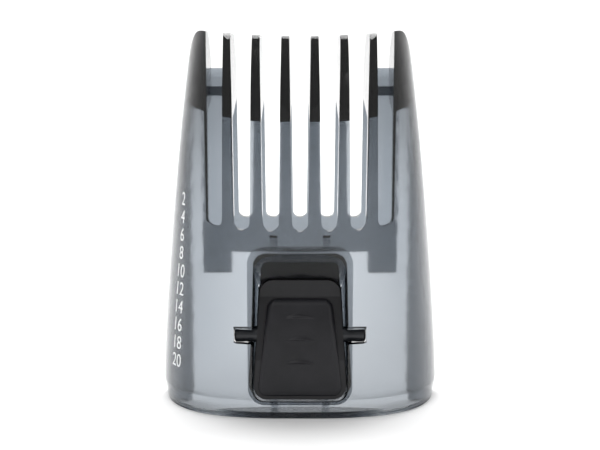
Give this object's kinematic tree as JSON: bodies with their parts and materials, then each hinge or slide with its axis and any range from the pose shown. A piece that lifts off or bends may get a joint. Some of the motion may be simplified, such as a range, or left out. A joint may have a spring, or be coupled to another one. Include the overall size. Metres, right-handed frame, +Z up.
{
  "type": "hair clipper comb guide",
  "caption": "Sliding length guide of a hair clipper: a clear smoke comb with long slotted teeth over a hollow for the clipper head, and a rocker release button on its skin side.",
  "frame": {"origin": "middle of the footprint at the level of the lower rim", "axes": "+Z up along the teeth, -Y the skin side with the button, +X to the right as seen from the skin side"},
  "size_m": [0.059, 0.0235, 0.0776],
  "materials": {
    "smoke_plastic": "clear smoke, polished",
    "black_plastic": "fine satin",
    "pad_plastic": "fine satin",
    "dark_pin": "semi-gloss",
    "spring_steel": "drawn wire"
  },
  "bodies": {
    "comb": {"comb_body": "smoke_plastic", "return_spring": "spring_steel"},
    "button": {"release_button": "black_plastic", "thumb_pad": "pad_plastic", "pivot_pin": "dark_pin"}
  },
  "joints": [
    {"name": "button_press", "type": "hinge", "parent": "comb", "child": "button", "pos_m": [0, -0.00815, 0.0168], "axis": [1, 0, 0], "range_deg": [0, 8], "stiffness_Nm_per_rad": 0.02, "springref_deg": -5.73, "deforming": ["return_spring"]}
  ]
}
